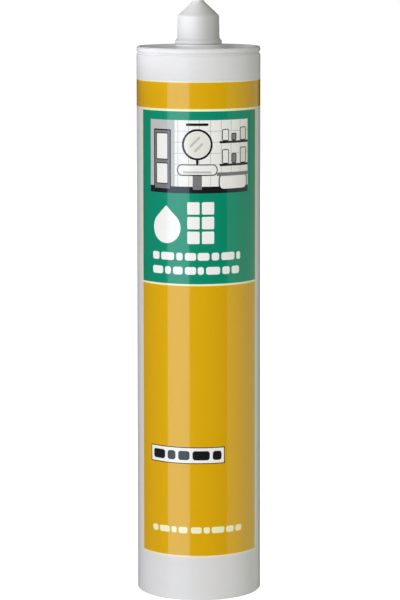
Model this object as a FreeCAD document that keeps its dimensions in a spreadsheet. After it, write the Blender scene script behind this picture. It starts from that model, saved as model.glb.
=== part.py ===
import FreeCAD, Part
import math
import os
import re

import Sketcher

# Sealant cartridge of the 310 ml pattern, standing on its open rear end.
# The origin is the centre of the base rim, +Z runs up the tube to the nipple, lengths are millimetres.

SIZES = {
    # Barrel: a parallel bore in a wall that is slightly thicker at the base
    "barrel_height": 216.5,
    "base_radius": 24.6,
    "draft": 0.3,
    "wall": 1.3,
    "base_chamfer": 0.3,
    "lead_in": 0.5,
    "lead_in_height": 3.0,
    # Barrel: the bead round the head's rim and the groove under it
    "bead_inset": 0.05,
    "bead_height": 1.7,
    "bead_chamfer": 0.45,
    "rim_chamfer": 0.4,
    "groove_depth": 0.7,
    "groove_height": 1.3,
    "rim_wall": 1.8,
    # Barrel: the sunken deck, its ribs and the hub that carries the nipple
    "deck_depth": 6.5,
    "deck_thickness": 1.6,
    "deck_rise": 1.2,
    "hub_radius": 9.25,
    "hub_rise": 0.9,
    "hub_chamfer": 0.3,
    "rib_count": 6,
    "rib_thickness": 1.2,
    "rib_drop": 1.4,
    "rib_turn": 30.0,
    # Barrel: the closed nipple with the nozzle's thread
    "root_radius": 6.5,
    "nipple_height": 10.2,
    "nipple_cone_height": 4.7,
    "nipple_tip_radius": 1.8,
    "nipple_wall": 1.6,
    "seal_thickness": 1.0,
    "passage_tip_radius": 0.7,
    "thread_depth": 0.9,
    "thread_pitch": 3.0,
    "thread_foot": 1.8,
    "thread_crest": 0.9,
    "thread_margin": 0.4,
    # Protective cap pushed over the thread
    "cap_headroom": 1.0,
    "cap_base_radius": 8.28,
    "cap_head_radius": 8.12,
    "cap_flange_radius": 9.15,
    "cap_flange_height": 1.05,
    "cap_chamfer": 0.2,
    "cap_flare_height": 1.05,
    "cap_cone_height": 5.5,
    "cap_tip_radius": 2.3,
    "cap_tip_pip": 0.4,
    "cap_top_thickness": 1.0,
    "cap_inner_tip_radius": 1.9,
    "cap_clearance": 0.08,
    "cap_seat_gap": 0.2,
    # Piston that closes the rear and is pushed up by a gun's plunger
    "piston_recess": 8.0,
    "piston_height": 18.0,
    "piston_wall": 1.5,
    "piston_face": 1.8,
    "lip_height": 2.6,
    "lip_relief": 0.9,
    "lip_slope": 1.0,
    "lip_clearance": 0.1,
    "piston_rib_count": 8,
    "piston_rib_thickness": 1.2,
    "piston_rib_height": 4.0,
    "boss_radius": 5.0,
    "boss_wall": 1.4,
    "boss_height": 5.0,
    # Sealant between the piston and the head
    "fill_clearance": 0.1,
    "fill_gap": 0.3,
}

doc = FreeCAD.newDocument("cartridge")
sheet = doc.addObject("Spreadsheet::Sheet", "Sizes")
for row, (alias, size) in enumerate(SIZES.items(), start=1):
    sheet.set(f"A{row}", alias)
    sheet.set(f"B{row}", str(size))
    sheet.setAlias(f"B{row}", alias)
doc.recompute()


def bound(formula):
    """The formula with each size's name pointed at the sheet."""
    return re.sub(r"[a-z_]+", lambda word: f"Sizes.{word[0]}" if word[0] in SIZES else word[0], formula)


def value(formula):
    """The number that a formula in the sheet's names gives."""
    return float(sheet.evalExpression(formula))


def bind(feature, **formulas):
    """Tie a feature's properties to the sheet."""
    for name, formula in formulas.items():
        feature.setExpression(name, bound(formula))


def origin_feature(body, role):
    return next(feature for feature in body.Origin.OriginFeatures if feature.Role == role)


def profile(body, name, corners, plane="XZ_Plane"):
    """A closed outline of straight edges on one of the body's planes.

    Each corner is a pair of formulas, its distance across and its distance up from the origin.
    """
    sketch = body.newObject("Sketcher::SketchObject", name)
    sketch.AttachmentSupport = (origin_feature(body, plane), [""])
    sketch.MapMode = "FlatFace"
    points = [FreeCAD.Vector(value(across), value(up), 0) for across, up in corners]
    for start, end in zip(points, points[1:] + points[:1]):
        sketch.addGeometry(Part.LineSegment(start, end), False)
    for edge, (across, up) in enumerate(corners):
        sketch.addConstraint(Sketcher.Constraint("Coincident", edge, 2, (edge + 1) % len(corners), 1))
        for direction, formula in (("DistanceX", across), ("DistanceY", up)):
            number = sketch.addConstraint(Sketcher.Constraint(direction, -1, 1, edge, 1, value(formula)))
            sketch.setExpression(f"Constraints[{number}]", bound(formula))
    sketch.Visibility = False
    return sketch


def revolved(body, name, corners):
    """The outline turned once round the tube's axis."""
    sketch = profile(body, f"{name}_outline", corners)
    turned = body.newObject("PartDesign::Revolution", name)
    turned.Profile = sketch
    turned.ReferenceAxis = (sketch, ["V_Axis"])
    turned.Angle = 360
    return turned


def chamfered(body, name, size, rings):
    """Break the circular edges that lie at the given pairs of radius and height."""
    doc.recompute()
    base = body.Tip
    wanted = [(value(radius), value(height)) for radius, height in rings]
    edges = [
        f"Edge{number}"
        for number, edge in enumerate(base.Shape.Edges, start=1)
        for radius, height in wanted
        if isinstance(edge.Curve, Part.Circle)
        and math.isclose(edge.Curve.Radius, radius, abs_tol=1e-4)
        and math.isclose(edge.Curve.Center.z, height, abs_tol=1e-4)
    ]
    chamfer = body.newObject("PartDesign::Chamfer", name)
    chamfer.Base = (base, edges)
    bind(chamfer, Size=size)
    return chamfer


def ribbed(body, name, corners, thickness, count):
    """A flat rib of the given outline, repeated round the axis."""
    sketch = profile(body, f"{name}_outline", corners)
    rib = body.newObject("PartDesign::Pad", name)
    rib.Profile = sketch
    rib.Midplane = True
    bind(rib, Length=thickness)
    ring = body.newObject("PartDesign::PolarPattern", f"{name}_ring")
    ring.Originals = [rib]
    ring.Axis = (origin_feature(body, "Z_Axis"), [""])
    ring.Angle = 360
    bind(ring, Occurrences=count)
    body.Tip = ring
    return ring


def new_body(label, height="0"):
    """An empty piece that stands at the given height on the tube's axis."""
    body = doc.addObject("PartDesign::Body", label)
    body.Label = label
    body.setExpression(".Placement.Base.z", bound(height))
    return body


# Heights and radii that several pieces share
BORE_RADIUS = "(base_radius - wall)"
HEAD_RADIUS = "(base_radius - draft)"
GROOVE_TOP = "(barrel_height - bead_height)"
GROOVE_BOTTOM = f"({GROOVE_TOP} - groove_height)"
BEAD_RADIUS = f"({HEAD_RADIUS} - bead_inset)"
DECK_EDGE = "(barrel_height - deck_depth)"
DECK_CENTRE = f"({DECK_EDGE} + deck_rise)"
CEILING_EDGE = f"({DECK_EDGE} - deck_thickness)"
CEILING_CENTRE = f"({CEILING_EDGE} + deck_rise)"
RECESS_RADIUS = f"({HEAD_RADIUS} - rim_wall)"
HUB_TOP = "(barrel_height + hub_rise)"
NIPPLE_SHOULDER = f"({HUB_TOP} + nipple_height)"
NIPPLE_TOP = f"({NIPPLE_SHOULDER} + nipple_cone_height)"
PASSAGE_RADIUS = "(root_radius - nipple_wall)"
PASSAGE_SHOULDER = f"({NIPPLE_SHOULDER} - nipple_wall / 2)"
PASSAGE_TOP = f"({NIPPLE_TOP} - seal_thickness)"
CREST_RADIUS = "(root_radius + thread_depth)"
PISTON_RADIUS = f"({BORE_RADIUS} - lip_clearance)"
PISTON_FRONT = "(piston_recess + piston_height)"


def make_barrel():
    """Tube, rim, deck, hub and closed nipple, moulded as one piece."""
    body = new_body("barrel")
    body.Placement.Rotation = FreeCAD.Rotation(FreeCAD.Vector(0, 0, 1), value("rib_turn"))
    body.setExpression(".Placement.Rotation.Angle", bound("rib_turn"))
    revolved(body, "barrel_wall", [
        (f"{BORE_RADIUS} + lead_in", "0"),
        ("base_radius", "0"),
        (HEAD_RADIUS, GROOVE_BOTTOM),
        (f"{HEAD_RADIUS} - groove_depth", f"{GROOVE_BOTTOM} + groove_height / 2"),
        (BEAD_RADIUS, GROOVE_TOP),
        (BEAD_RADIUS, "barrel_height"),
        (RECESS_RADIUS, "barrel_height"),
        (RECESS_RADIUS, DECK_EDGE),
        ("hub_radius", DECK_CENTRE),
        ("hub_radius", HUB_TOP),
        ("root_radius", HUB_TOP),
        ("root_radius", NIPPLE_SHOULDER),
        ("nipple_tip_radius", NIPPLE_TOP),
        ("0", NIPPLE_TOP),
        ("0", PASSAGE_TOP),
        ("passage_tip_radius", PASSAGE_TOP),
        (PASSAGE_RADIUS, PASSAGE_SHOULDER),
        (PASSAGE_RADIUS, CEILING_CENTRE),
        (BORE_RADIUS, CEILING_EDGE),
        (BORE_RADIUS, "lead_in_height"),
    ])
    chamfered(body, "base_edge", "base_chamfer", [("base_radius", "0")])
    chamfered(body, "bead_edge", "bead_chamfer", [(BEAD_RADIUS, "barrel_height")])
    chamfered(body, "rim_edge", "rim_chamfer", [(RECESS_RADIUS, "barrel_height")])
    chamfered(body, "hub_edge", "hub_chamfer", [("hub_radius", HUB_TOP)])
    ribbed(body, "deck_rib", [
        ("root_radius + nipple_wall / 2", f"{DECK_EDGE} - deck_thickness / 2 + deck_rise"),
        (f"{HEAD_RADIUS} - rim_wall / 2", f"{DECK_EDGE} - deck_thickness / 2"),
        (f"{HEAD_RADIUS} - rim_wall / 2", "barrel_height - rib_drop"),
        ("root_radius + nipple_wall / 2", "barrel_height - rib_drop"),
    ], "rib_thickness", "rib_count")
    make_thread(body)
    return body


def make_thread(body):
    """The coarse thread that the nozzle screws onto."""
    start = f"{HUB_TOP} + thread_margin"
    taper = "(thread_foot - thread_crest) / 2"
    sunk = "root_radius - nipple_wall / 4"
    sketch = profile(body, "thread_outline", [
        (sunk, start),
        (CREST_RADIUS, f"{start} + {taper}"),
        (CREST_RADIUS, f"{start} + {taper} + thread_crest"),
        (sunk, f"{start} + thread_foot"),
    ])
    thread = body.newObject("PartDesign::AdditiveHelix", "thread")
    thread.Profile = sketch
    thread.ReferenceAxis = (sketch, ["V_Axis"])
    thread.Mode = "pitch-turns-angle"
    thread.Angle = 0
    bind(
        thread,
        Pitch="thread_pitch",
        Turns="(nipple_height - 2 * thread_margin - thread_foot) / thread_pitch",
    )
    return thread


def make_cap():
    """Thin closed cap over the thread, its own base at height 0."""
    body = new_body("cap", f"{HUB_TOP} + cap_seat_gap")
    ceiling = "nipple_height + nipple_cone_height + cap_headroom - cap_seat_gap"
    top = f"{ceiling} + cap_top_thickness"
    shoulder = f"{top} - cap_cone_height - cap_tip_pip"
    inside = f"{CREST_RADIUS} + cap_clearance"
    revolved(body, "cap_wall", [
        (inside, "0"),
        ("cap_flange_radius", "0"),
        ("cap_flange_radius", "cap_flange_height"),
        ("cap_base_radius", "cap_flange_height + cap_flare_height"),
        ("cap_head_radius", shoulder),
        ("cap_tip_radius", f"{top} - cap_tip_pip"),
        ("cap_tip_radius", top),
        ("0", top),
        ("0", ceiling),
        ("cap_inner_tip_radius", ceiling),
        (inside, f"{shoulder} - (cap_head_radius - ({inside})) / 2"),
    ])
    chamfered(body, "cap_edge", "cap_chamfer", [("cap_head_radius", shoulder)])
    return body


def make_piston():
    """Cup with a sealing lip at each end, open to the rear, its floor stiffened by low ribs."""
    body = new_body("piston", "piston_recess")
    relief = f"{PISTON_RADIUS} - lip_relief"
    inside = f"{relief} - piston_wall"
    edge = "piston_height - deck_rise"
    floor = f"{edge} - piston_face"
    sunk = f"{floor} + piston_face / 2"
    revolved(body, "piston_cup", [
        (inside, "0"),
        (PISTON_RADIUS, "0"),
        (PISTON_RADIUS, "lip_height"),
        (relief, "lip_height + lip_slope"),
        (relief, f"{edge} - lip_height - lip_slope"),
        (PISTON_RADIUS, f"{edge} - lip_height"),
        (PISTON_RADIUS, edge),
        (PASSAGE_RADIUS, "piston_height"),
        ("0", "piston_height"),
        ("0", floor),
        (inside, floor),
    ])
    revolved(body, "boss", [
        ("boss_radius - boss_wall", f"{floor} - boss_height"),
        ("boss_radius", f"{floor} - boss_height"),
        ("boss_radius", sunk),
        ("boss_radius - boss_wall", sunk),
    ])
    ribbed(body, "piston_rib", [
        ("boss_radius - boss_wall / 2", f"{floor} - piston_rib_height"),
        (f"{inside} + piston_wall / 2", f"{floor} - piston_rib_height"),
        (f"{inside} + piston_wall / 2", sunk),
        ("boss_radius - boss_wall / 2", sunk),
    ], "piston_rib_thickness", "piston_rib_count")
    return body


def make_sealant():
    """The paste: a plug that fills the bore from the piston to the deck, and the nipple's passage."""
    body = new_body("sealant")
    fill_radius = f"{BORE_RADIUS} - fill_clearance"
    neck_radius = f"{PASSAGE_RADIUS} - fill_clearance"
    revolved(body, "fill", [
        ("0", f"{PISTON_FRONT} + fill_gap"),
        (PASSAGE_RADIUS, f"{PISTON_FRONT} + fill_gap"),
        (fill_radius, f"{PISTON_FRONT} - deck_rise + fill_gap"),
        (fill_radius, f"{CEILING_EDGE} - fill_clearance"),
        (neck_radius, f"{CEILING_CENTRE} - fill_clearance"),
        (neck_radius, f"{PASSAGE_SHOULDER} - fill_clearance"),
        ("passage_tip_radius", f"{PASSAGE_TOP} - 2 * fill_clearance"),
        ("0", f"{PASSAGE_TOP} - 2 * fill_clearance"),
    ])
    return body


pieces = [make_barrel(), make_cap(), make_piston(), make_sealant()]
doc.recompute()

for item in doc.Objects:
    if "Invalid" in item.State or "Error" in item.State:
        raise RuntimeError(f"{item.Name} did not rebuild: {item.State}")
for piece in pieces:
    if piece.Shape.isNull() or not piece.Shape.isValid() or len(piece.Shape.Solids) != 1:
        raise RuntimeError(f"{piece.Label} is not one sound solid")

os.makedirs("parts", exist_ok=True)
for piece in pieces:
    piece.Shape.exportStep(f"parts/{piece.Label}.step")
    print(piece.Label, round(piece.Shape.Volume / 1000, 3), "ml")
print("piston travel", round(value(f"{CEILING_EDGE} - {PISTON_FRONT} + deck_rise"), 2), "mm")
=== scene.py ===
import math

import bmesh
import bpy
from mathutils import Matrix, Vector


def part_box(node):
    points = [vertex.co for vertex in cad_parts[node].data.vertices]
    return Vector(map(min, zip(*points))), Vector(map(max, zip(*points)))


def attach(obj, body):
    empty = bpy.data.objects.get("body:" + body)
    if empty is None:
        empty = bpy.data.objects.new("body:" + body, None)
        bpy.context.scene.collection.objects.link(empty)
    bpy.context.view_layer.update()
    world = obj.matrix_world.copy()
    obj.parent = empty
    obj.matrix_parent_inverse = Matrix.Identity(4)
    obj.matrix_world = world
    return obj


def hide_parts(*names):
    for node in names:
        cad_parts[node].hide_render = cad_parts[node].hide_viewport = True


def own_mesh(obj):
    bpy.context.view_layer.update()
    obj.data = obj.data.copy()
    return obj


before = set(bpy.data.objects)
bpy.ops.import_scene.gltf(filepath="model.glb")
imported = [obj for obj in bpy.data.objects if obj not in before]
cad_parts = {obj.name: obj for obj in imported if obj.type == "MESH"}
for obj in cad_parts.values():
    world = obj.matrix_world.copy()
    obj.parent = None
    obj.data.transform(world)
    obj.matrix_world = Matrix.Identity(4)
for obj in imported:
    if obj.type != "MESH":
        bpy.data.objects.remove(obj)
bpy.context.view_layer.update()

MM = 0.001

# The photograph's view, fitted to the rim, the print's edges and the base
CAMERA_PLACE = (0.665 * MM, -1032.2 * MM, 264.4 * MM)
CAMERA_TILT = math.radians(81.822)
CAMERA_ROLL = math.radians(0.06)
CAMERA_LENS = 157.7

# Room light: its strength from level in front and from level behind, the share of it that comes from
# straight above, and its tint from the right. The floor's glow is for the camera alone
ROOM_FRONT = 0.81
ROOM_BACK = 0.25
ROOM_ABOVE = 0.4
ROOM_RIGHT = (1, 0.96, 0.68, 1)
FLOOR_GLOW = 0.84

# What the gloss shows. Each card has the azimuths of its two sides, its strength at CARD_LOW and lower, its
# strength at CARD_HIGH and higher, and its colour. A tall window stands at the left and a dim wall at the
# right, and the rest is dark
CARDS = {
    "card_window": (-59.4, -17, 1.45, 1.45, (0.75, 1, 1.2, 1)),
    "card_front": (-17, 54, 0.0, 0.0, (1, 1, 1, 1)),
    "card_wall": (54, 145, 0.75, 0.40, (0.58, 0.82, 0.66, 1)),
    "card_back": (145, 180, 0.0, 0.0, (1, 1, 1, 1)),
    "card_left": (-180, -59.4, 0.05, 0.05, (1, 1, 1, 1)),
}
CARD_LOW = -0.12
CARD_HIGH = 0.08

# Each soft lamp's azimuth from the camera's side, its width in metres and its power in watts
SOFT_LAMPS = {
    "key_lamp": (-24, 1.0, 13.6),
    "back_left_lamp": (-150, 0.4, 8),
    "back_right_lamp": (150, 0.4, 8),
}

# The print. Its sides are in degrees round the tube from the front, and its heights in millimetres up from
# the base. It is measured along the surface at PRINT_RADIUS, and ink lies only outside WALL_MIDDLE. Pale
# lines of LINE_WIDTH part its fields, and those at its sides are of SIDE_LINE
PRINT_RADIUS = 24.45
WALL_MIDDLE = 23.9
PANEL_LEFT = -62.4
PANEL_RIGHT = 65.0
BAND_TOP = 203.6
BAND_BOTTOM = 193.45
GREEN_TOP = 192.55
GREEN_BOTTOM = 125.7
LINE_WIDTH = 0.75
SIDE_LINE = 1.2
YELLOW_BOTTOM = 18.05
PICTURE_LEFT = -49.4
PICTURE_RIGHT = 51.4
PICTURE_BOTTOM = 161.0
PICTURE_TOP = 189.2
BARS_LEFT = -46.6
PLATE_LEFT = -49.3
PLATE_RIGHT = 24.5
PLATE_BOTTOM = 54.75
PLATE_TOP = 61.4
SLANT = math.radians(45)


def srgb(red, green, blue):
    """A colour written as 0 to 255 steps on a screen, as the linear values a shader takes."""
    def linear(step):
        share = step / 255
        return share / 12.92 if share <= 0.04045 else ((share + 0.055) / 1.055) ** 2.4
    return (linear(red), linear(green), linear(blue), 1)


WHITE_PLASTIC = srgb(230, 230, 233)
WHITE_CLOUD = srgb(225, 225, 229)
CAP_PLASTIC = srgb(211, 211, 213)
PISTON_PLASTIC = srgb(232, 234, 230)
PASTE = srgb(240, 240, 236)
PASTE_FOLD = srgb(228, 228, 222)
FLOOR_PAPER = srgb(246, 246, 247)
FLOOR_GRAIN = srgb(241, 241, 243)
YELLOW_INK = srgb(231, 178, 0)
GREEN_INK = srgb(0, 148, 116)
CREAM_INK = srgb(255, 255, 212)
EDGE_INK = srgb(252, 240, 210)
WHITE_INK = srgb(255, 255, 255)
DARK_INK = srgb(30, 29, 34)


class Graph:
    """Short names for building the nodes of one tree."""

    def __init__(self, tree):
        self.tree = tree

    def link(self, source, socket):
        """Feed a socket from another one, or set it to a plain value."""
        if isinstance(source, bpy.types.NodeSocket):
            self.tree.links.new(source, socket)
        else:
            socket.default_value = source

    def node(self, kind, inputs=(), **settings):
        """A node with its settings, and its inputs given by name or number."""
        node = self.tree.nodes.new(kind)
        for name, setting in settings.items():
            setattr(node, name, setting)
        for key, source in dict(inputs).items():
            self.link(source, node.inputs[key])
        return node

    def math(self, operation, first, second=0.0):
        """One sum, product or comparison."""
        return self.node("ShaderNodeMath", {0: first, 1: second}, operation=operation).outputs[0]

    def mix(self, share, first, second):
        """Blend two colours. Sockets 6 and 7 and output 2 of the node are those for colours."""
        return self.node("ShaderNodeMix", {0: share, 6: first, 7: second}, data_type="RGBA").outputs[2]

    def spread(self, value, low, high, start=0.0, end=1.0):
        """Stretch a value from one range, a share of 0 to 1 unless given, onto another."""
        ranges = {"Value": value, "From Min": start, "From Max": end, "To Min": low, "To Max": high}
        return self.node("ShaderNodeMapRange", ranges).outputs[0]

    def place(self):
        """Each point's own place on the piece, in metres."""
        return self.node("ShaderNodeTexCoord").outputs["Object"]

    def axes(self, vector):
        """A vector's parts, named X, Y and Z."""
        return self.node("ShaderNodeSeparateXYZ", {"Vector": vector}).outputs

    def noise(self, across, up, detail):
        """Cloudy noise over the piece, with so many patches a metre across and along the tube."""
        scaled = self.node("ShaderNodeMapping", {"Vector": self.place(), "Scale": (across, across, up)})
        settings = {"Vector": scaled.outputs[0], "Scale": 1.0, "Detail": detail}
        return self.node("ShaderNodeTexNoise", settings).outputs[0]

    def bump(self, height, strength, depth):
        """The surface's direction, made uneven by a height."""
        node = self.node("ShaderNodeBump", {"Height": height, "Strength": strength, "Distance": depth})
        return node.outputs[0]


def new_material(name):
    """A material, its graph and its surface shader."""
    material = bpy.data.materials.new(name)
    material.use_nodes = True
    tree = material.node_tree
    return material, Graph(tree), tree.nodes["Principled BSDF"]


def moulded_surface(graph, surface, roughness, wander, grain):
    """Roughness that wanders a little, and the shallow drawn grain of a moulded wall."""
    cloud = graph.noise(across=60, up=25, detail=3.0)
    drawn = graph.noise(across=900, up=60, detail=2.0)
    graph.link(graph.spread(cloud, roughness - wander, roughness + wander), surface.inputs["Roughness"])
    graph.link(graph.bump(drawn, strength=grain, depth=0.02 * MM), surface.inputs["Normal"])


def make_stamp():
    """A node group: 1 inside a rectangle with round corners, turned about its centre, 0 outside."""
    group = bpy.data.node_groups.new("stamp", "ShaderNodeTree")
    for name in ("Across", "Up", "Middle", "Height", "Half width", "Half height", "Corner", "Turn"):
        group.interface.new_socket(name, in_out="INPUT", socket_type="NodeSocketFloat")
    group.interface.new_socket("Mask", in_out="OUTPUT", socket_type="NodeSocketFloat")
    graph = Graph(group)
    given = graph.node("NodeGroupInput").outputs
    across = graph.math("SUBTRACT", given["Across"], given["Middle"])
    up = graph.math("SUBTRACT", given["Up"], given["Height"])
    cosine = graph.math("COSINE", given["Turn"])
    sine = graph.math("SINE", given["Turn"])

    def times(first, second):
        return graph.math("MULTIPLY", first, second)

    def beyond(distance, half):
        """How far past the straight stretch of a side, where the round corner begins."""
        flat = graph.math("SUBTRACT", half, given["Corner"])
        return graph.math("MAXIMUM", graph.math("SUBTRACT", graph.math("ABSOLUTE", distance), flat), 0.0)

    turned_across = graph.math("ADD", times(across, cosine), times(up, sine))
    turned_up = graph.math("SUBTRACT", times(up, cosine), times(across, sine))
    past_side = beyond(turned_across, given["Half width"])
    past_end = beyond(turned_up, given["Half height"])
    squares = graph.math("ADD", graph.math("POWER", past_side, 2.0), graph.math("POWER", past_end, 2.0))
    inside = graph.math("LESS_THAN", graph.math("SQRT", squares), given["Corner"])
    result = graph.node("NodeGroupOutput")
    graph.link(inside, result.inputs["Mask"])
    return group


class Print:
    """The barrel's print: fields of ink laid one over another on bare ground."""

    def __init__(self, graph, ground):
        self.graph = graph
        self.stamp = make_stamp()
        self.ground = ground
        self.color = ground
        self.inked = 0.0
        axes = graph.axes(graph.place())
        angle = graph.math("ARCTAN2", axes["X"], graph.math("MULTIPLY", axes["Y"], -1.0))
        self.across = graph.math("MULTIPLY", angle, PRINT_RADIUS)
        self.up = graph.math("DIVIDE", axes["Z"], MM)
        squares = [graph.math("POWER", axes[name], 2.0) for name in "XY"]
        radius = graph.math("SQRT", graph.math("ADD", *squares))
        self.outside = graph.math("GREATER_THAN", radius, WALL_MIDDLE * MM)

    def field(self, left, right, bottom, top, color, corner=0.01, turn=0.0):
        """One field of ink, its sides in millimetres along the surface and its ends in height."""
        sizes = {
            "Across": self.across,
            "Up": self.up,
            "Middle": (left + right) / 2,
            "Height": (bottom + top) / 2,
            "Half width": (right - left) / 2,
            "Half height": (top - bottom) / 2,
            "Corner": corner,
            "Turn": turn,
        }
        mask = self.graph.node("ShaderNodeGroup", sizes.items(), node_tree=self.stamp).outputs[0]
        self.color = self.graph.mix(mask, self.color, color)
        self.inked = self.graph.math("MAXIMUM", self.inked, mask)

    def framed(self, left, right, bottom, top, line, color, inner, corner=0.3):
        """A field with a thin outline."""
        self.field(left, right, bottom, top, color, corner)
        self.field(left + line, right - line, bottom + line, top - line, inner, max(corner - line, 0.05))

    def bars(self, left, bottom, top, lengths, gap, color):
        """A row of plain rounded bars in the place of a line of words."""
        for length in lengths:
            self.field(left, left + length, bottom, top, color, (top - bottom) * 0.3)
            left += length + gap

    def finish(self):
        """The colour and the ink's cover, which leave the inside of the wall bare."""
        color = self.graph.mix(self.outside, self.ground, self.color)
        return color, self.graph.math("MULTIPLY", self.outside, self.inked)


def along(degrees):
    """Millimetres along the surface for an angle round the tube."""
    return math.radians(degrees) * PRINT_RADIUS


def print_panels(sheet):
    """The yellow band round the head, and the green and yellow panels on the front."""
    left = along(PANEL_LEFT)
    right = along(PANEL_RIGHT)
    all_round = math.pi * PRINT_RADIUS + 1
    sheet.field(-all_round, all_round, BAND_BOTTOM, BAND_TOP + LINE_WIDTH / 2, CREAM_INK)
    sheet.field(-all_round, all_round, BAND_BOTTOM, BAND_TOP, YELLOW_INK)
    sheet.field(left - SIDE_LINE, right + SIDE_LINE, YELLOW_BOTTOM - LINE_WIDTH, BAND_BOTTOM, EDGE_INK)
    sheet.field(left, right, GREEN_BOTTOM - LINE_WIDTH, BAND_BOTTOM, CREAM_INK)
    sheet.field(left, right, YELLOW_BOTTOM, GREEN_BOTTOM - LINE_WIDTH, YELLOW_INK)
    sheet.field(left, right, GREEN_BOTTOM, GREEN_TOP, GREEN_INK)


def print_picture(sheet):
    """A washroom in greys: tiled wall, tall cabinet, round mirror over a basin, shelves and a bath."""
    left = along(PICTURE_LEFT)
    right = along(PICTURE_RIGHT)
    bottom = PICTURE_BOTTOM
    top = PICTURE_TOP
    wall = srgb(252, 252, 250)
    shade = srgb(200, 200, 202)
    joint = srgb(214, 214, 214)
    middle = srgb(128, 128, 132)
    pale = srgb(240, 240, 232)
    floor_top = bottom + 2.6
    alcove = left + 11.6
    tile = 4.45
    half_joint = 0.16
    thin = 0.35
    sheet.field(left, right, bottom, top, wall)
    columns = round((right - left) / tile)
    for column in range(1, columns):
        line = left + column * (right - left) / columns
        sheet.field(line - half_joint, line + half_joint, floor_top, top, joint)
    rows = round((top - floor_top) / tile)
    for row in range(1, rows):
        line = floor_top + row * (top - floor_top) / rows
        sheet.field(left, right, line - half_joint, line + half_joint, joint)
    sheet.field(left, alcove, floor_top, top, shade)
    sheet.field(left, right, bottom, floor_top, DARK_INK)
    # Tall cabinet with two doors
    sheet.framed(left + 1.9, alcove - 1.6, bottom + 1.2, top - 3.6, 0.5, DARK_INK, middle)
    for foot, head in ((bottom + 3.4, bottom + 11.6), (bottom + 12.8, top - 5.0)):
        sheet.framed(left + 3.1, alcove - 2.8, foot, head, thin, DARK_INK, wall)
    # Round mirror with its shine, and the lamp over it
    mirror = left + 20.6
    height = top - 9.4
    sheet.field(mirror - 4.4, mirror + 4.4, top - 2.2, top - 1.2, DARK_INK, 0.4)
    sheet.framed(mirror - 6.0, mirror + 6.0, height - 6.0, height + 6.0, 0.8, DARK_INK, pale, 6.0)
    sheet.field(mirror - 3.6, mirror + 1.8, height + 0.6, height + 1.5, shade, 0.4, SLANT)
    sheet.field(mirror - 1.8, mirror + 2.8, height - 1.6, height - 0.7, shade, 0.4, SLANT)
    # Basin on its stand, with a tap
    sheet.field(mirror - 1.8, mirror + 1.8, bottom + 1.4, bottom + 8.0, middle, 0.4)
    sheet.framed(mirror - 8.0, mirror + 8.0, bottom + 6.8, bottom + 11.2, 0.4, DARK_INK, wall, 2.0)
    sheet.field(mirror - 5.6, mirror + 5.6, bottom + 7.7, bottom + 8.5, shade, 0.4)
    sheet.field(mirror - 0.5, mirror + 0.5, bottom + 11.2, bottom + 13.2, DARK_INK, 0.3)
    # Two shelves with jars, which are shorter on the upper one, and the bath under them
    shelf_left = right - 13.6
    jars = ((3.0, 5.6, wall), (2.4, 4.0, middle), (3.4, 6.2, pale))
    for shelf, shorter in ((bottom + 10.4, 0.0), (bottom + 19.2, 1.0)):
        foot = shelf + 0.9
        sheet.field(shelf_left, right, shelf, foot, DARK_INK)
        for number, (width, tall, tone) in enumerate(jars):
            jar = shelf_left + 1.0 + number * 4.1
            sheet.framed(jar, jar + width, foot, foot + tall - shorter, thin, DARK_INK, tone, 0.7)
    sheet.framed(shelf_left - 0.4, right - 0.6, bottom + 1.2, bottom + 7.6, 0.45, DARK_INK, wall, 2.2)
    sheet.field(shelf_left - 1.2, right, bottom + 6.6, bottom + 8.0, middle, 0.6)


def print_marks(sheet):
    """Two plain signs in white, a drop and a block of tiles, with rows of bars under them."""
    bottom = 141.4
    # The drop is a round field with a slanted square on it
    drop = 6.1
    middle = -13.2
    height = bottom + drop
    tip = height + drop * math.sqrt(0.5)
    half = drop / 2
    sheet.field(middle - drop, middle + drop, height - drop, height + drop, WHITE_INK, drop)
    sheet.field(middle - half, middle + half, tip - half, tip + half, WHITE_INK, 0.3, SLANT)
    tile = 4.8
    gap = 0.9
    tiles_left = -4.4
    for column in range(2):
        for row in range(3):
            left = tiles_left + column * (tile + gap)
            foot = bottom + row * (tile + gap)
            sheet.field(left, left + tile, foot, foot + tile, WHITE_INK, 0.5)
    left = along(BARS_LEFT)
    second = left + 19.5
    bar_height = 3.0
    for foot, lengths, second_lengths in (
        (134.9, (3.4, 5.8, 2.6, 4.4), (4.6, 3.0, 5.8, 2.0)),
        (129.4, (5.2, 2.6, 4.0, 4.4), (2.4, 5.6, 3.2, 3.6)),
    ):
        sheet.bars(left, foot, foot + bar_height, lengths, gap, WHITE_INK)
        sheet.bars(second, foot, foot + bar_height, second_lengths, gap, WHITE_INK)


def print_plate(sheet):
    """The outlined white plate low on the yellow panel, and the cream row under it."""
    left = along(PLATE_LEFT)
    inset = 1.5
    sheet.framed(left, along(PLATE_RIGHT), PLATE_BOTTOM, PLATE_TOP, 0.35, DARK_INK, WHITE_INK, 0.1)
    foot = PLATE_BOTTOM + inset
    sheet.bars(left + inset, foot, PLATE_TOP - inset, (5.6, 3.4, 4.6, 6.8, 3.6), 1.15, DARK_INK)
    foot = 27.0
    top = 29.5
    sheet.bars(left + 0.9, foot, top, (2.8, 4.6, 2.2, 3.6), 0.8, CREAM_INK)
    sheet.bars(left + 17.9, foot, top, (4.2, 2.4, 5.2, 3.4, 3.0), 0.8, CREAM_INK)


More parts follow.
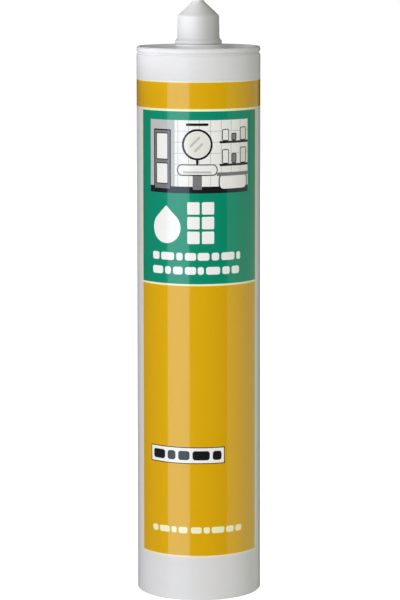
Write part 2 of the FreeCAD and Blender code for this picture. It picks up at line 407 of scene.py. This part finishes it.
def make_barrel_plastic():
    """White polyethylene with the print on it: satin where bare, lacquered where inked."""
    material, graph, surface = new_material("barrel_plastic")
    cloud = graph.spread(graph.noise(across=40, up=15, detail=4.0), 0.0, 0.3)
    ground = graph.mix(cloud, WHITE_PLASTIC, WHITE_CLOUD)
    sheet = Print(graph, ground)
    print_panels(sheet)
    print_picture(sheet)
    print_marks(sheet)
    print_plate(sheet)
    color, cover = sheet.finish()
    mottle = graph.spread(graph.noise(across=700, up=700, detail=3.0), 0.975, 1.025)
    shade = graph.node("ShaderNodeHueSaturation", {"Value": mottle, "Color": color})
    graph.link(shade.outputs[0], surface.inputs["Base Color"])
    moulded_surface(graph, surface, roughness=0.22, wander=0.04, grain=0.15)
    surface.inputs["Specular IOR Level"].default_value = 0.3
    graph.link(cover, surface.inputs["Coat Weight"])
    surface.inputs["Coat Roughness"].default_value = 0.06
    return material


def make_plain_plastic(name, color, roughness):
    """Unprinted polyethylene, which lets a little light in."""
    material, graph, surface = new_material(name)
    darker = tuple(0.94 * channel for channel in color[:3]) + (1,)
    cloud = graph.noise(across=90, up=90, detail=4.0)
    graph.link(graph.mix(cloud, color, darker), surface.inputs["Base Color"])
    surface.inputs["Subsurface Weight"].default_value = 0.25
    surface.inputs["Subsurface Radius"].default_value = (1.0, 1.0, 1.0)
    surface.inputs["Subsurface Scale"].default_value = 1.2 * MM
    moulded_surface(graph, surface, roughness, wander=0.05, grain=0.2)
    return material


def make_paste():
    """Smooth white paste with faint folds."""
    material, graph, surface = new_material("sealant_paste")
    cloud = graph.noise(across=120, up=120, detail=5.0)
    graph.link(graph.mix(cloud, PASTE, PASTE_FOLD), surface.inputs["Base Color"])
    graph.link(graph.bump(cloud, strength=0.4, depth=0.3 * MM), surface.inputs["Normal"])
    graph.link(graph.spread(cloud, 0.35, 0.5), surface.inputs["Roughness"])
    return material


def add_object(name, data):
    """A new object of the scene, which shows a mesh, a lamp or a camera."""
    thing = bpy.data.objects.new(name, data)
    bpy.context.scene.collection.objects.link(thing)
    return thing


def lathe(name, outline, steps=128):
    """A closed mesh turned from (radius, height) points; a point with no radius is on the axis."""
    mesh = bpy.data.meshes.new(name)
    shape = bmesh.new()
    rings = []
    for radius, height in outline:
        ring = []
        for step in range(steps if radius else 1):
            angle = 2 * math.pi * step / steps
            ring.append(shape.verts.new((radius * math.cos(angle), radius * math.sin(angle), height)))
        rings.append(ring)
    for lower, upper in zip(rings, rings[1:]):
        for step in range(steps):
            after = (step + 1) % steps
            corners = [lower[step % len(lower)], lower[after % len(lower)]]
            corners += [upper[after % len(upper)], upper[step % len(upper)]]
            shape.faces.new(list(dict.fromkeys(corners)))
    bmesh.ops.recalc_face_normals(shape, faces=shape.faces)
    shape.to_mesh(mesh)
    shape.free()
    mesh.shade_smooth()
    crease = math.radians(35)
    mesh.set_sharp_from_angle(angle=crease)
    return add_object(name, mesh)


def dress(node, material):
    """Give a CAD node its finish."""
    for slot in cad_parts[node].material_slots:
        slot.material = material


def make_sealant():
    """The paste between the piston and the deck, turned from its outline and carried by the barrel."""
    low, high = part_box("sealant")
    radius = high[0] - 0.05 * MM
    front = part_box("piston")[1][2]
    ceiling = 208.3 * MM
    rise = 1.0 * MM
    neck = 4.75 * MM
    tip = 0.6 * MM
    gap = 0.1 * MM
    foot = front + 0.35 * MM
    top = high[2] - 0.3 * MM
    outline = [
        (0, foot),
        (neck, foot),
        (radius, low[2] + gap),
        (radius, ceiling - gap),
        (neck, ceiling + rise),
        (neck, high[2] - 5.5 * MM),
        (tip, top),
        (0, top),
    ]
    piece = lathe("sealant_paste", outline)
    piece.data.materials.append(make_paste())
    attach(piece, "barrel")
    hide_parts("sealant")
    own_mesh(piece)


def make_camera():
    """The camera at the photograph's viewing angle."""
    data = bpy.data.cameras.new("view_camera")
    data.lens = CAMERA_LENS
    camera = add_object("view_camera", data)
    camera.location = CAMERA_PLACE
    camera.rotation_euler = (CAMERA_TILT, CAMERA_ROLL, 0)
    bpy.context.scene.camera = camera


def seen_by(graph, kinds):
    """1 for a ray of one of these kinds, 0 for any other."""
    path = graph.node("ShaderNodeLightPath")
    total = 0.0
    for kind in kinds:
        total = graph.math("MAXIMUM", path.outputs[kind], total)
    return total


def make_world():
    """Room light that is a little warmer at the right, and a white background."""
    world = bpy.data.worlds.new("studio")
    world.use_nodes = True
    bpy.context.scene.world = world
    graph = Graph(world.node_tree)
    background = world.node_tree.nodes["Background"]
    shown = seen_by(graph, ("Is Camera Ray", "Is Glossy Ray", "Is Transmission Ray"))
    axes = graph.axes(graph.node("ShaderNodeTexCoord").outputs["Generated"])
    level = graph.spread(axes["Y"], ROOM_FRONT, ROOM_BACK, start=-1.0)
    room = graph.math("MULTIPLY", level, graph.spread(axes["Z"], 1.0, ROOM_ABOVE))
    graph.link(graph.math("MAXIMUM", room, shown), background.inputs["Strength"])
    right = graph.math("MAXIMUM", graph.math("SUBTRACT", axes["X"], shown), 0.0)
    graph.link(graph.mix(right, (1, 1, 1, 1), ROOM_RIGHT), background.inputs["Color"])


def make_floor():
    """A pale floor that runs into the white background and keeps the shadow.

    It can't be seen from under it, and it is open inside the base, so that light reaches the piston.
    """
    half = 14.0
    opening = 23 * MM
    corners = [(-half, -half, 0), (half, -half, 0), (half, half, 0), (-half, half, 0)]
    mesh = bpy.data.meshes.new("floor")
    mesh.from_pydata(corners, [], [(0, 1, 2, 3)])
    floor = add_object("floor", mesh)
    floor.location.z = -0.02 * MM
    material, graph, surface = new_material("floor_paper")
    grain = graph.noise(across=300, up=300, detail=3.0)
    graph.link(graph.mix(grain, FLOOR_PAPER, FLOOR_GRAIN), surface.inputs["Base Color"])
    surface.inputs["Roughness"].default_value = 0.9
    surface.inputs["Specular IOR Level"].default_value = 0
    surface.inputs["Emission Color"].default_value = (1, 1, 1, 1)
    shown = seen_by(graph, ("Is Camera Ray",))
    graph.link(graph.math("MULTIPLY", shown, FLOOR_GLOW), surface.inputs["Emission Strength"])
    radius = graph.node("ShaderNodeVectorMath", {0: graph.place()}, operation="LENGTH").outputs["Value"]
    below = graph.node("ShaderNodeNewGeometry").outputs["Backfacing"]
    hidden = graph.math("MAXIMUM", below, graph.math("LESS_THAN", radius, opening))
    clear = graph.node("ShaderNodeBsdfTransparent").outputs[0]
    paper = graph.node("ShaderNodeMixShader", {0: hidden, 1: surface.outputs[0], 2: clear}).outputs[0]
    graph.link(paper, material.node_tree.nodes["Material Output"].inputs["Surface"])
    mesh.materials.append(material)
    floor.visible_glossy = False


def make_card(name, start, end, low, high, color):
    """An upright curved card that only reflections see, with one strength low down and another high up."""
    distance = 1.5
    reach = 3.0
    step_degrees = 6
    steps = max(2, round((end - start) / step_degrees))
    points = []
    for step in range(steps + 1):
        angle = math.radians(start + (end - start) * step / steps)
        for height in (-reach, reach):
            points.append((distance * math.sin(angle), -distance * math.cos(angle), height))
    faces = [(2 * step, 2 * step + 1, 2 * step + 3, 2 * step + 2) for step in range(steps)]
    mesh = bpy.data.meshes.new(name)
    mesh.from_pydata(points, [], faces)
    card = add_object(name, mesh)
    material, graph, surface = new_material(name)
    surface.inputs["Base Color"].default_value = (0, 0, 0, 1)
    surface.inputs["Specular IOR Level"].default_value = 0
    surface.inputs["Emission Color"].default_value = color
    strength = graph.spread(graph.axes(graph.place())["Z"], low, high, CARD_LOW, CARD_HIGH)
    graph.link(strength, surface.inputs["Emission Strength"])
    material.cycles.emission_sampling = "NONE"
    mesh.materials.append(material)
    card.visible_camera = False
    card.visible_diffuse = False
    card.visible_shadow = False
    card.visible_transmission = False


def place_lamp(data, azimuth, distance, height, aim):
    """Hang a lamp at an azimuth from the camera's side, and turn it to a height on the axis."""
    lamp = add_object(data.name, data)
    angle = math.radians(azimuth)
    lamp.location = (distance * math.sin(angle), -distance * math.cos(angle), height)
    lamp.rotation_euler = (Vector((0, 0, aim)) - lamp.location).to_track_quat("-Z", "Y").to_euler()
    lamp.visible_glossy = False


def make_soft_lamp(name, azimuth, width, power):
    """A large soft lamp that hangs higher than the tube."""
    data = bpy.data.lights.new(name, "AREA")
    data.shape = "RECTANGLE"
    data.size = width
    data.size_y = 0.7
    data.energy = power
    place_lamp(data, azimuth, distance=1.7, height=0.42, aim=0.15)


def make_cap_lamp():
    """A narrow lamp at the left, low enough that the rim keeps its light off the sunken head."""
    data = bpy.data.lights.new("cap_lamp", "SPOT")
    data.spot_size = math.radians(4.4)
    data.spot_blend = 0.5
    data.shadow_soft_size = 0.02
    data.energy = 15.5
    place_lamp(data, azimuth=-65, distance=0.6, height=0.215, aim=0.237)


make_camera()
make_world()
make_floor()
for name, setting in SOFT_LAMPS.items():
    make_soft_lamp(name, *setting)
make_cap_lamp()
for name, setting in CARDS.items():
    make_card(name, *setting)

dress("barrel", make_barrel_plastic())
dress("cap", make_plain_plastic("cap_plastic", CAP_PLASTIC, roughness=0.3))
dress("piston", make_plain_plastic("piston_plastic", PISTON_PLASTIC, roughness=0.4))
make_sealant()

bpy.context.scene.view_settings.view_transform = "Standard"
